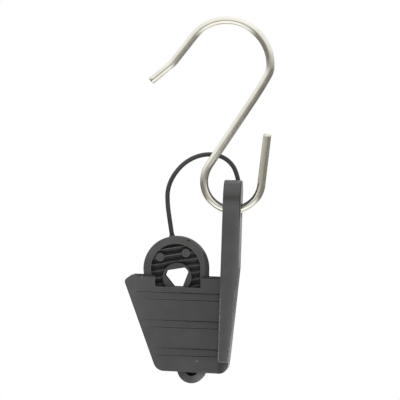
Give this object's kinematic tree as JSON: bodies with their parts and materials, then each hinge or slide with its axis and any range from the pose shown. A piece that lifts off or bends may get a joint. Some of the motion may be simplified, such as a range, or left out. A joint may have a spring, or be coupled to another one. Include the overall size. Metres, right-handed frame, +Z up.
{
  "type": "drop cable clamp",
  "caption": "Wedge clamp that grips a looped drop cable, hung from a bent wire S-hook, with a tether that keeps the wedge.",
  "frame": {"origin": "the hook's seat: the underside of its upper bend, at the top and middle of the wire", "axes": "+Z up along the clamp's spine, +X to the spine's side in the front view, the front faces -Y"},
  "size_m": [0.0681, 0.0178, 0.1765],
  "materials": {
    "clamp_shell": "moulded, fine matt grain",
    "wedge": "moulded, fine matt grain",
    "tether": "moulded, satin",
    "s_hook": "drawn wire, polished"
  },
  "bodies": {
    "hook": {"s_hook": "s_hook"},
    "clamp": {"clamp_shell": "clamp_shell", "tether": "tether"},
    "wedge": {"wedge": "wedge"}
  },
  "joints": [
    {"name": "eye_swing", "type": "hinge", "parent": "hook", "child": "clamp", "pos_m": [0.00541, 0, -0.0888], "axis": [1, 0, 0], "range_deg": [-90, 5]},
    {"name": "wedge_slide", "type": "slide", "parent": "clamp", "child": "wedge", "axis": [-0.1874, 0, 0.9823], "range_m": [-0.0305, 0.05], "deforming": ["tether"]}
  ]
}
